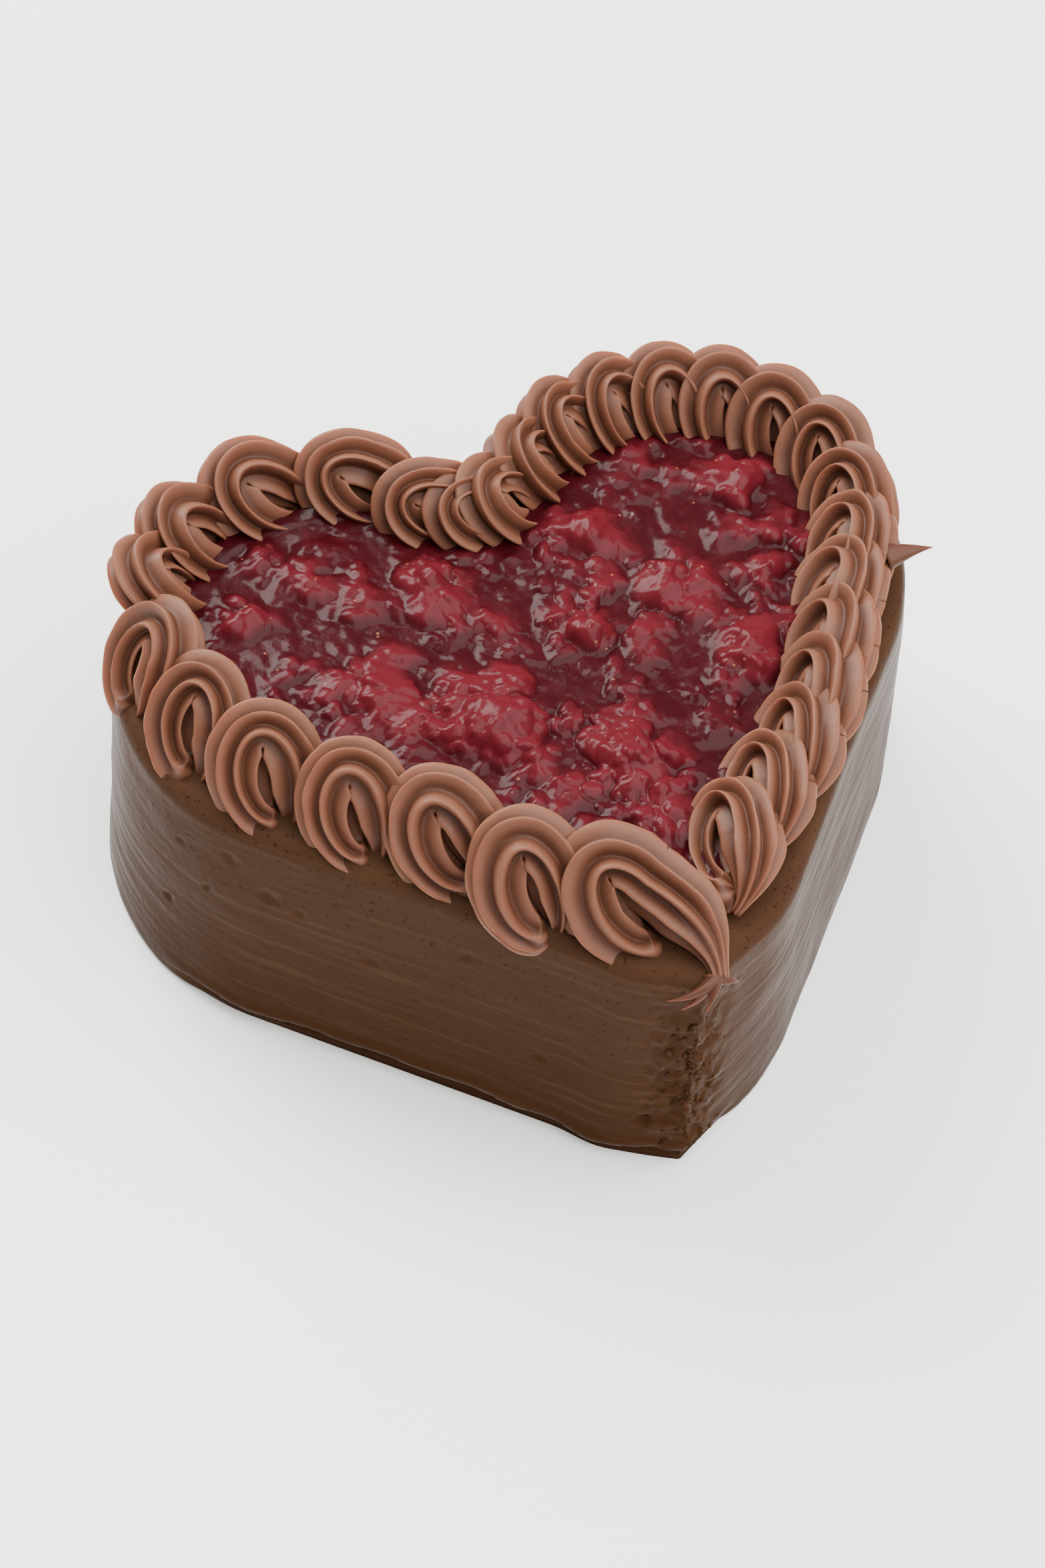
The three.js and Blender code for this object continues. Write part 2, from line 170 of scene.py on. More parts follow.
class CakeStageSettings(bpy.types.PropertyGroup):
    """The floor, the lights and the camera."""

    floor_colour: colour("Floor", "Colour of the plain floor", (0.97, 0.97, 0.95))
    distance: length("Distance", "From the camera to the point it looks at", 0.5256)
    elevation: turn("Elevation", "How far above the horizon the camera stands", 53.53)
    azimuth: turn("Azimuth", "How far round the cake the camera stands", -27.93)
    roll: turn("Roll", "How far the camera leans", 4.97)
    target: bpy.props.FloatVectorProperty(
        name="Target", description="The point that the camera looks at",
        default=(0.0032, 0.02, 0.0), size=3, subtype="TRANSLATION", unit="LENGTH",
    )


# ------------------------------------------------------------------ numbers on whole arrays
def smooth(x):
    """A smooth step: 0 below 0, 1 above 1, and three squares less two cubes between."""
    x = np.clip(x, 0.0, 1.0)
    return x * x * (3.0 - 2.0 * x)


def unit(vectors):
    """Each vector over its own length."""
    return vectors / np.linalg.norm(vectors, axis=-1, keepdims=True)


def unevenness(n):
    """A small repeatable unevenness of the hand, between -1 and 1: a sine times a cosine."""
    return math.sin(n * 12.9898) * math.cos(n * 4.1414)


def place_number(ix, iy, iz, seed):
    """A fixed number from 0 to 1 for each whole-number place: its three numbers and the seed are
    multiplied by large odd numbers, added, and mixed by shifts."""
    n = (ix * 374761393 + iy * 668265263 + iz * 1442695041 + seed * 974634777) & 0xFFFFFFFF
    n = ((n ^ (n >> 13)) * 1274126177) & 0xFFFFFFFF
    return ((n ^ (n >> 16)) & 0xFFFFFF) / 0xFFFFFF


def soft_noise(points, size, seed):
    """Smooth noise from -1 to 1. The points are divided by the size, the numbers of the eight
    places round each are mixed with smooth steps along x, y and z."""
    scaled = np.asarray(points, float) / size
    low = np.floor(scaled).astype(np.int64)
    step = smooth(scaled - low)
    total = 0.0
    for corner in ((i, j, k) for i in (0, 1) for j in (0, 1) for k in (0, 1)):
        weight = np.prod(np.where(corner, step, 1.0 - step), axis=-1)
        ix, iy, iz = (low[..., axis] + corner[axis] for axis in range(3))
        total = total + weight * place_number(ix, iy, iz, seed)
    return 2.0 * total - 1.0


# ------------------------------------------------------------------ meshes
def skin(name, grid, start, end, marks=None):
    """A closed skin from a grid of points in millimetres. Each point is joined to the next in its
    row and in its column, the rows are closed rings, and each end is closed by a fan to a centre
    point. If the volume that it holds comes out negative, every face is turned round."""
    rows, columns, _ = grid.shape
    points = np.concatenate([grid.reshape(-1, 3), [start, end]]) / MM
    i, j = np.meshgrid(np.arange(rows - 1), np.arange(columns), indexing="ij")
    k = (j + 1) % columns
    row, after = i * columns, (i + 1) * columns
    quads = np.stack([row + j, row + k, after + k, after + j], -1).reshape(-1, 4)
    j = np.arange(columns)
    k = (j + 1) % columns
    last = (rows - 1) * columns
    caps = np.concatenate([
        np.stack([k, j, np.full(columns, rows * columns)], -1),
        np.stack([last + j, last + k, np.full(columns, rows * columns + 1)], -1),
    ])
    triangles = np.concatenate([quads[:, [0, 1, 2]], quads[:, [0, 2, 3]], caps])
    a, b, c = (points[triangles[:, n]] for n in range(3))
    if np.einsum("ij,ij->i", a, np.cross(b, c)).sum() < 0:
        quads, caps = quads[:, ::-1], caps[:, ::-1]
    mesh = bpy.data.meshes.new(name)
    mesh.from_pydata(points.tolist(), [], quads.tolist() + caps.tolist())
    mesh.polygons.foreach_set("use_smooth", np.ones(len(mesh.polygons), bool))
    for mark, values in (marks or {}).items():
        ends = [values[0].mean(), values[-1].mean()]
        attribute = mesh.attributes.new(mark, "FLOAT", "POINT")
        attribute.data.foreach_set("value", np.concatenate([values.ravel(), ends]).astype(np.float32))
    mesh.update()
    piece = bpy.data.objects.new(name, mesh)
    bpy.context.scene.collection.objects.link(piece)
    return piece


def settle(piece, material, slot, *nodes):
    """Gives a piece its material, rides it on the cake, and lets it stand for nodes. The slot is not
    used.
    """
    piece.data.materials.append(material)
    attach(piece, "root")
    if nodes:
        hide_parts(*nodes)
    return piece


# ------------------------------------------------------------------ heart outlines
def arc(centre, radius, start, end, count):
    """Points on a circle at evenly spaced angles."""
    angle = np.linspace(start, end, count)
    return np.asarray(centre) + radius * np.stack([np.cos(angle), np.sin(angle)], -1)


def heart_half(heart, offset=0.0):
    """The right half of a heart outline, moved out by the offset, from the tip to the cleft.

    A small arc rounds the corner, a straight short face leads to the arc that bends it into the
    leg, which goes up at 45 degrees, the lobe is an arc that it meets without a corner, and the
    cleft is an arc bent the other way that touches the lobe."""
    lobe_y = heart["apex_y"] + heart["lobe_x"] + math.sqrt(2) * heart["lobe_r"]
    reach = heart["lobe_r"] + heart["cleft_r"]
    cleft_y = lobe_y + math.sqrt(reach**2 - heart["lobe_x"] ** 2)
    meet = math.atan2(cleft_y - lobe_y, -heart["lobe_x"])
    tip_y = heart["apex_y"] + math.sqrt(2) * heart["tip_r"]
    corner_r = max(0.3, heart["corner_r"] + offset)
    corner_y = tip_y - (heart["tip_r"] + offset - corner_r) / math.cos(CORNER_FACE)
    turn_at = CORNER_FACE - math.pi / 2
    corner = arc((0, corner_y), corner_r, -math.pi / 2, turn_at, 12)
    tip = arc((0, tip_y), heart["tip_r"] + offset, turn_at, -math.pi / 4, 60)
    lobe = arc((heart["lobe_x"], lobe_y), heart["lobe_r"] + offset, -math.pi / 4, meet, 500)
    cleft = arc((0, cleft_y), heart["cleft_r"] - offset, meet - math.pi, -math.pi / 2, 80)
    return np.concatenate([corner, tip, lobe, cleft[1:]])


def evenly(points, count, closed):
    """Points at evenly spaced lengths along a line of points, and those lengths."""
    steps = np.linalg.norm(np.diff(points, axis=0), axis=-1)
    lengths = np.concatenate([[0.0], np.cumsum(steps)])
    wanted = np.linspace(0, lengths[-1], count, endpoint=not closed)
    return np.stack([np.interp(wanted, lengths, column) for column in points.T], -1), wanted


def heart_outline(heart, offset, count):
    """The whole outline, counterclockwise from the tip: the right half, then its mirror image back.
    Returns the points and the length from the tip, negative on the left."""
    half = heart_half(heart, offset)
    points = np.concatenate([half, (half * np.array([-1.0, 1.0]))[::-1][1:]])
    points, lengths = evenly(points, count, closed=True)
    whole = lengths[-1] + lengths[1]
    return points, np.where(lengths > whole / 2, lengths - whole, lengths)


def outward(points):
    """Directions out of a counterclockwise ring: the step from the point before to the point
    after, turned a quarter turn to the right."""
    step = np.roll(points, -1, axis=0) - np.roll(points, 1, axis=0)
    return unit(np.stack([step[:, 1], -step[:, 0]], -1))


# ------------------------------------------------------------------ the glazed block
WALL_COLUMNS = 900
WALL_ROWS = 84
RELIEF_LOWEST, RELIEF_HIGHEST = -2.2, 0.6  # limits of the wall's relief
LIP_FROM, LIP_TO = -105.0, 14.0  # where along the wall the lip at the foot runs
LIP_HEIGHT, LIP_DEPTH = 4.0, 1.9  # how high the lip is, and how deep the recess under it
TIP_CRUMBLE = (-1.0, 27.0, 6.5, 22.0)  # rough patch at the tip: along, height, half width, half height
# Pits in the glaze: length from the tip along the wall, height, radius, depth.
PITS = [
    (-8, 12, 0.9, 1.1), (-60, 30, 1.0, 0.5), (-43, 40, 0.8, 0.5), (-85, 44, 1.1, 0.5),
    (-78, 38, 1.3, 0.5), (-73, 36, 0.9, 0.5), (-30, 20, 0.8, 0.5), (-100, 22, 0.8, 0.5),
    (-95, 41, 0.6, 0.4), (-90, 33, 0.6, 0.5), (-66, 42, 0.5, 0.4), (-52, 24, 0.5, 0.4),
]


def wall_profile(block, rows):
    """Height and inward distance of the wall from the foot to the flat top, evenly spaced in
    height below the rounded edge: a chamfer, a straight lean, and a quarter circle."""
    height, lean, top_round = block.height * MM, block.lean * MM, block.top_round * MM
    foot = block.foot_chamfer * MM
    z = np.concatenate([[0.0], np.linspace(foot, height - top_round, rows)])
    inward = np.interp(z, [0.0, foot, height - top_round], [foot, 0.0, lean])
    angle = np.linspace(0, math.pi / 2, 9)[1:]
    z = np.concatenate([z, height - top_round * (1 - np.sin(angle))])
    return z, np.concatenate([inward, lean + top_round * (1 - np.cos(angle))])


def wall_relief(place, along, z):
    """How far the glaze stands out: slow waves, long low streaks laid by the spatula, fine grain,
    pits with soft rims, a recess under the lip at the foot, and a crumbly patch at the tip."""
    streak_place = np.stack([along + 0.0 * z, z + 0.11 * along, 0.0 * z], -1)
    waves = 0.32 * soft_noise(place, 19.0, 1) + 0.12 * soft_noise(place, 7.0, 2)
    streaks = 0.04 * soft_noise(streak_place / np.array([26.0, 3.2, 1.0]), 1.0, 3)
    streaks = streaks + 0.02 * soft_noise(streak_place / np.array([11.0, 1.1, 1.0]), 1.0, 4)
    relief = waves + streaks + 0.03 * soft_noise(place, 1.1, 5)
    uneven = 0.9 * soft_noise(place, 1.3, 9)
    for pit_along, pit_z, radius, depth in PITS:
        far = ((along - pit_along + uneven) ** 2 / 2.0 + (z - pit_z + 0.3 * uneven) ** 2) / radius**2
        relief = relief - depth * np.exp(-far) + 0.12 * depth * np.exp(-((np.sqrt(far) - 1.7) ** 2) * 4)
    lip_height = LIP_HEIGHT + 1.3 * soft_noise(place * np.array([1.0, 1.0, 0.0]), 9.0, 6)
    lip_here = smooth((along - LIP_FROM) / 20.0) * smooth((LIP_TO - along) / 8.0)
    relief = relief - LIP_DEPTH * lip_here * smooth((lip_height - z) / 0.9)
    relief = relief + 0.35 * lip_here * np.exp(-(((z - lip_height - 1.2) / 1.1) ** 2))
    tip_along, tip_z, half_width, half_height = TIP_CRUMBLE
    beside = smooth(1.6 - np.abs(along - tip_along) / half_width)
    near = beside * smooth(1.4 - np.abs(z - tip_z) / half_height)
    crumble = 0.75 * soft_noise(place, 2.3, 7) + 0.5 * soft_noise(place, 1.1, 8)
    return np.clip(relief + near * (crumble - 0.5), RELIEF_LOWEST, RELIEF_HIGHEST)


CRUMB_SPOT, CRUMB_SPREAD = 1.0, 3.5  # where along the wall the crumbs crowd, and how widely
CRUMB_TOP = 40.0  # the highest crumb
CRUMB_SIZES = (0.3, 0.95)  # least and largest radius
CRUMB_SUNK = 0.2  # how deep a crumb is sunk, as a share of its radius


def crumb_surface(block):
    """Crumbs as eight-sided lumps: the corners of an octahedron pushed in and out at random, each
    at a random place on the wall near the rough corner, sunk a little into its relief."""
    random = np.random.default_rng(11)
    outline, along = heart_outline(CAKE_HEART, 0.0, WALL_COLUMNS)
    outline[:, 0] -= CORNER_SHIFT * smooth((-outline[:, 1] - CORNER_FROM) / CORNER_REACH)
    out = outward(outline)
    count = block.crumbs
    wanted = random.normal(CRUMB_SPOT, CRUMB_SPREAD, count)
    column = np.abs(along[None] - wanted[:, None]).argmin(axis=1)
    height = random.uniform(0.7, CRUMB_TOP, count)
    radius = random.uniform(*CRUMB_SIZES, count)
    inset = np.interp(height, *wall_profile(block, WALL_ROWS))[:, None]
    flat = outline[column] - out[column] * inset
    place = np.concatenate([flat, height[:, None]], -1)
    relief = wall_relief(place, along[column], height) - CRUMB_SUNK * radius
    place[:, :2] += out[column] * relief[:, None]
    shape = np.array([[1, 0, 0], [0, 1, 0], [-1, 0, 0], [0, -1, 0], [0, 0, 1], [0, 0, -1]], float)
    sizes = radius[:, None, None] * random.uniform(0.7, 1.2, (count, 6, 1))
    points = place[:, None] + shape[None] * sizes
    ring = [[0, 1, 4], [1, 2, 4], [2, 3, 4], [3, 0, 4], [1, 0, 5], [2, 1, 5], [3, 2, 5], [0, 3, 5]]
    faces = np.array(ring)[None] + 6 * np.arange(count)[:, None, None]
    return points.reshape(-1, 3), faces.reshape(-1, 3)


def block_surface(block):
    """The block's skin: at each height the heart outline moved in by the wall's profile, its corner
    shifted to the left by a smooth step, and moved out by the wall's relief. Rings go from the foot
    to the flat top, whose rings shrink toward the middle."""
    z, inward = wall_profile(block, WALL_ROWS)
    rings = [heart_outline(CAKE_HEART, -distance, WALL_COLUMNS) for distance in inward]
    flat = np.stack([ring for ring, _ in rings])
    along = np.stack([lengths for _, lengths in rings])
    flat[..., 0] -= CORNER_SHIFT * smooth((-flat[..., 1] - CORNER_FROM) / CORNER_REACH)
    place = np.concatenate([flat, np.broadcast_to(z[:, None, None], flat.shape[:2] + (1,))], -1)
    relief = wall_relief(place, along, place[..., 2])
    held = smooth(place[..., 2] / 1.5) * smooth((block.height * MM - place[..., 2]) / 2.0)
    place[..., :2] += outward(flat[0])[None] * (relief * held)[..., None]
    top = place[-1]
    middle = np.array([0.0, 0.0, block.height * MM])
    shrink = np.array([0.8, 0.5, 0.2])[:, None, None]
    grid = np.concatenate([place, middle + (top - middle)[None] * shrink])
    return grid, np.concatenate([along, np.repeat(along[-1:], 3, axis=0)])


# ------------------------------------------------------------------ the piped border
RIDGE_SOFT = 0.12  # how far a ridge's crest is rounded; 0 is a sharp edge
ROPE_FROM, ROPE_SWEEP = 22.0, 376.0  # angle where a swirl's rope starts, and how far it goes round
LEAD_TO, TAIL_FROM = 0.25, 0.72  # where along the rope its lead ends and its tail begins
DRIFT = 1.6  # power by which lead and tail leave the loop
TIP_END = 1.7  # how much thicker the last swirl on the left ends


def border_line():
    """The border line on the right from the cleft to the tip, and the length along it."""
    return evenly(heart_half(BORDER_HEART)[::-1], 1200, closed=False)


def on_border(side, distance, outside):
    """A place on the border line, moved outward, and the heading toward the tip there."""
    line, lengths = border_line()
    here = np.array([np.interp(distance, lengths, line[:, axis]) for axis in (0, 1)])
    ahead = np.array([np.interp(distance + 0.5, lengths, line[:, axis]) for axis in (0, 1)])
    behind = np.array([np.interp(distance - 0.5, lengths, line[:, axis]) for axis in (0, 1)])
    heading = unit(ahead - behind)
    here = (here + np.array([-heading[1], heading[0]]) * outside) * [side, 1.0]
    return np.append(here, 0.0), np.append(heading * [side, 1.0], 0.0)


class Swirl:
    """Where one swirl lies: its place, and its axes forward along the border, up in the loop's
    plane, and out of the loop's face, which looks right of the heading, up, and to the tip."""

    def __init__(self, border, side, number, distance, outside, axis, size):
        seed = number - 1 + (40 if side > 0 else 3)
        self.name = f"swirl_{'right' if side > 0 else 'left'}_{number:02d}"
        place, heading = on_border(side, distance, outside)
        if side < 0 and number <= BACKWARD:
            heading = -heading
        right = np.array([heading[1], -heading[0], 0.0])
        tilt = border.tilt + math.radians(3 * unevenness(seed))
        yaw = border.yaw + math.radians(3 * unevenness(seed + 0.5))
        slope = right * math.cos(tilt) + np.array([0.0, 0.0, math.sin(tilt)])
        self.face = slope * math.cos(yaw) + heading * math.sin(yaw)
        self.forward = heading * math.cos(yaw) - slope * math.sin(yaw)
        self.up = np.cross(self.face, self.forward)
        self.place = place + [0.0, 0.0, border.centre_height * MM]
        self.axis = math.radians(axis)
        self.size = size
        self.last_left = side < 0 and number == len(LEFT_SWIRLS)
        self.tail = (border.tip_tail if self.last_left else border.tail) * MM
        self.taper_from = 0.84 if self.last_left else 0.78
        self.pull = np.array(TIP_PULL if self.last_left else (0.0, 0.0, 0.0))
        self.seed = seed


def rope_line(t, swirl, border):
    """The rope's middle line: a teardrop in the loop's plane. The angle falls evenly, from beside
    the teardrop's tail, under it, round its head and back. The radius grows smoothly from the
    start to the head, and lead and tail add a power of the first and the last part. Across the
    teardrop's axis the line is narrowed. Start and tail lie behind the face, and the last tail is
    pulled over the cake's corner by the same power."""
    angle = np.radians(ROPE_FROM - ROPE_SWEEP * t)
    tail = np.clip((t - TAIL_FROM) / (1 - TAIL_FROM), 0.0, None)
    lead = np.clip(1 - t / LEAD_TO, 0.0, None)
    start, top = border.loop_start * MM, border.loop_top * MM
    radius = swirl.size * (start + (top - start) * smooth(t / 0.6))
    radius = radius + swirl.tail * tail**DRIFT + border.lead * MM * lead**DRIFT
    long = radius * np.cos(angle)
    wide = border.loop_width * radius * np.sin(angle)
    cos, sin = math.cos(swirl.axis), math.sin(swirl.axis)
    flat = np.outer(long * cos - wide * sin, swirl.forward)
    high = np.outer(long * sin + wide * cos - border.loop_sink * MM * swirl.size, swirl.up)
    lift = -1.2 * (1 - smooth(t / 0.4)) - 2.2 * tail
    line = swirl.place + flat + high + np.outer(lift, swirl.face)
    return line + np.outer(tail**DRIFT, swirl.pull)


def rope_radius(t, swirl, border):
    """The rope swells smoothly from its start and tapers over its last part to the pulled end.
    The very start is a round dome."""
    start, full, end = border.start_radius * MM, border.rope_radius * MM, border.end_radius * MM
    end = end * (TIP_END if swirl.last_left else 1.0)
    taper = 1 - smooth((t - swirl.taper_from) / (1 - swirl.taper_from))
    radius = swirl.size * (start + (full - start) * smooth(t / 0.45)) * taper + end * (1 - taper)
    dome = np.sqrt(np.clip(1 - (1 - t / 0.07) ** 2, 0.02, 1.0))
    return radius * np.where(t < 0.07, dome, 1.0)


def swirl_surface(swirl, border, steps=150, around=112):
    """A star carried along the rope's line. Between ridges the star's radius dips by the groove
    depth, as the size of a sine of half the ridges' angle, softened near zero: the crests are
    narrow and the grooves wide and round. On the inside of a sharp bend the offset is held under
    the bend's own radius by a soft minimum. The ridges wander a little, and soft noise leaves the
    hand's unevenness."""
    t = np.linspace(0.0, 1.0, steps)
    line = lambda shift: rope_line(t + shift, swirl, border)
    along = unit(line(1e-3) - line(-1e-3))
    bend = (unit(line(0.021) - line(0.019)) - unit(line(-0.019) - line(-0.021)))
    bend = bend / np.linalg.norm(line(0.02) - line(-0.02), axis=-1, keepdims=True)
    out = unit(swirl.face - along * (along @ swirl.face)[:, None])
    across = np.cross(out, along)
    angle = np.linspace(0, 2 * math.pi, around, endpoint=False)[None]
    wander = 0.12 * np.sin(5.0 * t[:, None] + swirl.seed + 2.0 * angle)
    dip = np.sqrt(np.sin(border.ridges / 2 * (angle + wander)) ** 2 + RIDGE_SOFT**2) - RIDGE_SOFT
    ridge = 1 - dip / (math.sqrt(1 + RIDGE_SOFT**2) - RIDGE_SOFT)
    groove = border.groove * smooth(t / 0.16) * (1 - 0.6 * smooth((t - 0.8) / 0.2))
    radius = rope_radius(t, swirl, border)[:, None] * (1 - groove[:, None] * (1 - ridge))
    direction = out[:, None] * np.cos(angle)[..., None] - across[:, None] * np.sin(angle)[..., None]
    inside = np.clip(radius * np.einsum("ijk,ik->ij", direction, bend) / 0.85, 0.0, None)
    radius = radius / (1 + inside**6) ** (1 / 6)
    grid = line(0.0)[:, None] + radius[..., None] * direction
    grid = grid + 0.16 * soft_noise(grid, 3.4, 20)[..., None] * direction
    return grid, line(0.0)[0], line(0.0)[-1], ridge


def all_swirls(border):
    """The swirls of both sides."""
    return [
        Swirl(border, side, number, *entry)
        for side, entries in ((-1, LEFT_SWIRLS), (1, RIGHT_SWIRLS))
        for number, entry in enumerate(entries, 1)
    ]


# Pulled ends of buttercream: name, base, point, bend of the middle, radius at the base.
PULLED_ENDS = [
    ("pulled_peak", (60.0, 1.0, 61.0), (68.2, -0.6, 62.2), (0.0, 0.0, 0.4), 2.4),
    ("pulled_end_1", (-1.4, -59.6, 51.6), (-10.0, -59.6, 49.6), (0.2, -1.2, 0.5), 1.5),
    ("pulled_end_2", (-1.6, -59.4, 51.6), (2.2, -60.6, 49.6), (0.2, -0.6, 0.4), 1.4),
    ("pulled_end_3", (-1.8, -59.4, 51.6), (-4.8, -63.2, 48.4), (0.2, -0.5, 0.6), 1.5),
    ("pulled_end_4", (-3.0, -60.0, 51.2), (-8.2, -61.2, 48.2), (0.0, -0.7, 0.3), 1.1),
]


def horn_surface(base, point, bend, radius, around=14, steps=16):
    """A pulled end of buttercream: a round tube along a line from base to point that is bent by a
    parabola, and whose radius falls as a power of the distance left to the point."""
    t = np.linspace(0.0, 1.0, steps)[:, None]
    base, point, bend = (np.asarray(v, float) for v in (base, point, bend))
    centre = base + (point - base) * t + bend * (4 * t * (1 - t))
    along = unit(np.gradient(centre, axis=0))
    side = unit(np.cross(along, [0.3, 0.2, 1.0]))
    over = np.cross(along, side)
    angle = np.linspace(0, 2 * math.pi, around, endpoint=False)[None, :, None]
    width = (radius * (1 - t) ** 1.15 + 0.05)[:, None]
    ring = side[:, None] * np.cos(angle) + over[:, None] * np.sin(angle)
    grid = centre[:, None] + width * (1 + 0.14 * np.cos(3 * angle)) * ring
    return grid, centre[0], centre[-1]


# ------------------------------------------------------------------ the fruit filling
FILLING_COLUMNS = 640
FILLING_RINGS = 132
FILLING_MIDDLE = (0.0, -4.0)


def lump_height(x, y):
    """The large lumps, each a bell curve of the distance from its middle."""
    total = np.zeros_like(x)
    for lump_x, lump_y, radius, height in LUMPS:
        total += height * np.exp(-2 * ((x - lump_x) ** 2 + (y - lump_y) ** 2) / radius**2)
    return total


def chunk_height(x, y, count, radii, steepness, seed):
    """Pieces of fruit, each a dome: its height times the root of one less the squared distance
    over the squared radius. The height is the radius times a steepness. They are joined softly, as
    the fourth root of the sum of fourth powers."""
    random = np.random.default_rng(seed)
    total = np.zeros_like(x)
    places = random.uniform((x.min(), y.min()), (x.max(), y.max()), (count, 2))
    sizes = random.uniform(*radii, count)
    heights = sizes * random.uniform(*steepness, count)
    for (chunk_x, chunk_y), radius, height in zip(places, sizes, heights):
        far = ((x - chunk_x) ** 2 + (y - chunk_y) ** 2) / radius**2
        total += (height * np.sqrt(np.clip(1 - far, 0.0, 1.0))) ** 4
    return total**0.25


def filling_surface(filling, bottom):
    """The filling's skin: rings of the heart outline shrunk toward a middle point. The fruit is
    the large lumps plus middling and small chunks, whose outlines are pulled out of round by soft
    noise, plus pulp. It stands out of the syrup's level by a soft maximum, and sinks under it by
    the border, where the syrup climbs a little."""
    edge, _ = heart_outline(BORDER_HEART, -filling.edge * MM, FILLING_COLUMNS)
    middle = np.array(FILLING_MIDDLE)
    k = np.linspace(1.0, 0.006, FILLING_RINGS)[:, None, None]
    flat = middle + (edge - middle)[None] * k
    x, y = flat[..., 0], flat[..., 1]
    place = np.stack([x, y, np.zeros_like(x)], -1)
    pull_x = 1.5 * soft_noise(place, 4.5, 35) + 0.5 * soft_noise(place, 1.9, 36)
    pull_y = 1.5 * soft_noise(place, 4.5, 37) + 0.5 * soft_noise(place, 1.9, 38)
    pulled_x, pulled_y = x + pull_x, y + pull_y
    lumps = lump_height(x + 0.7 * pull_x, y + 0.7 * pull_y)
    busy = smooth(0.6 + 0.6 * soft_noise(place, 12.0, 30) + 0.2 * lumps)
    middling = chunk_height(pulled_x, pulled_y, filling.chunks, (2.2, 5.5), (0.28, 0.5), 7)
    little_x, little_y = x + 0.4 * pull_x, y + 0.4 * pull_y
    small = chunk_height(little_x, little_y, 3 * filling.chunks, (0.8, 2.0), (0.3, 0.6), 8)
    fruit = lumps + middling * (0.5 + 0.5 * busy) + small * (0.3 + 0.5 * busy)
    fruit = fruit + 0.35 * soft_noise(place, 2.6, 31) + 0.12 * soft_noise(place, 1.2, 32)
    to_edge = (1 - k[..., 0]) * np.linalg.norm(edge - middle, axis=-1)[None]
    fruit = fruit - 0.7 - 1.9 * np.exp(-np.clip(to_edge - 4.0, 0.0, None) / 2.5)
    standing = 0.3 * np.log1p(np.exp(np.clip(fruit / 0.3, -30, 30)))
    ripples = 0.16 * soft_noise(place, 4.2, 33) + 0.07 * soft_noise(place, 1.4, 34)
    climb = 0.5 * np.exp(-np.clip(to_edge - 3.5, 0.0, None) / 1.0)
    z = filling.level * MM - 0.4 + standing + ripples + climb
    top = np.stack([x, y, z], -1)
    skirt = np.concatenate([edge, np.full((len(edge), 1), bottom)], -1)[None]
    grid = np.concatenate([skirt, top])
    wet = np.concatenate([standing[:1] * 0, standing])
    middle_top = np.append(middle, z[-1].mean())
    return grid, np.append(middle, bottom), middle_top, wet


# ------------------------------------------------------------------ materials
class Finish:
    """A material's node tree, with short ways to add and join its nodes."""

    def __init__(self, name):
        self.material = bpy.data.materials.new(name)
        self.material.use_nodes = True
        self.tree = self.material.node_tree
        self.shader = self.tree.nodes["Principled BSDF"]

    def node(self, kind, **settings):
        node = self.tree.nodes.new(kind)
        for setting, value in settings.items():
            setattr(node, setting, value)
        return node

    def join(self, output, socket):
        self.tree.links.new(output, socket)

    def place(self):
        return self.node("ShaderNodeTexCoord").outputs["Object"]

    def mark(self, name):
        return self.node("ShaderNodeAttribute", attribute_name=name).outputs["Fac"]

    def stretch(self, source, scale, rotation=(0.0, 0.0, 0.0)):
        node = self.node("ShaderNodeMapping")
        node.inputs["Scale"].default_value = scale
        node.inputs["Rotation"].default_value = rotation
        self.join(source, node.inputs["Vector"])
        return node.outputs["Vector"]

    def noise(self, source, scale, detail=4.0, roughness=0.5):
        node = self.node("ShaderNodeTexNoise")
        node.inputs["Scale"].default_value = scale
        node.inputs["Detail"].default_value = detail
        node.inputs["Roughness"].default_value = roughness
        self.join(source, node.inputs["Vector"])
        return node.outputs["Fac"]

    def cells(self, source, scale):
        node = self.node("ShaderNodeTexVoronoi")
        node.inputs["Scale"].default_value = scale
        self.join(source, node.inputs["Vector"])
        return node.outputs["Distance"]

    def ramp(self, source, low, high, to_low=0.0, to_high=1.0):
        node = self.node("ShaderNodeMapRange", interpolation_type="SMOOTHSTEP")
        limits = {"From Min": low, "From Max": high, "To Min": to_low, "To Max": to_high}
        for socket, value in limits.items():
            node.inputs[socket].default_value = value
        self.join(source, node.inputs["Value"])
        return node.outputs["Result"]

    def math(self, operation, a, b):
        node = self.node("ShaderNodeMath", operation=operation)
        for socket, value in zip(node.inputs, (a, b)):
            if isinstance(value, (int, float)):
                socket.default_value = value
            else:
                self.join(value, socket)
        return node.outputs["Value"]

    def mix(self, factor, a, b):
        node = self.node("ShaderNodeMix", data_type="RGBA")
        for name, value in (("Factor", factor), ("A", a), ("B", b)):
            socket = node.inputs[name]
            if isinstance(value, (int, float)):
                socket.default_value = value
            elif isinstance(value, bpy.types.NodeSocket):
                self.join(value, socket)
            else:
                socket.default_value = (*value, 1.0)
        return node.outputs["Result"]

    def bump(self, height, distance, strength=1.0, under=None):
        node = self.node("ShaderNodeBump")
        node.inputs["Distance"].default_value = distance
        node.inputs["Strength"].default_value = strength
        self.join(height, node.inputs["Height"])
        if under is not None:
            self.join(under, node.inputs["Normal"])
        return node.outputs["Normal"]


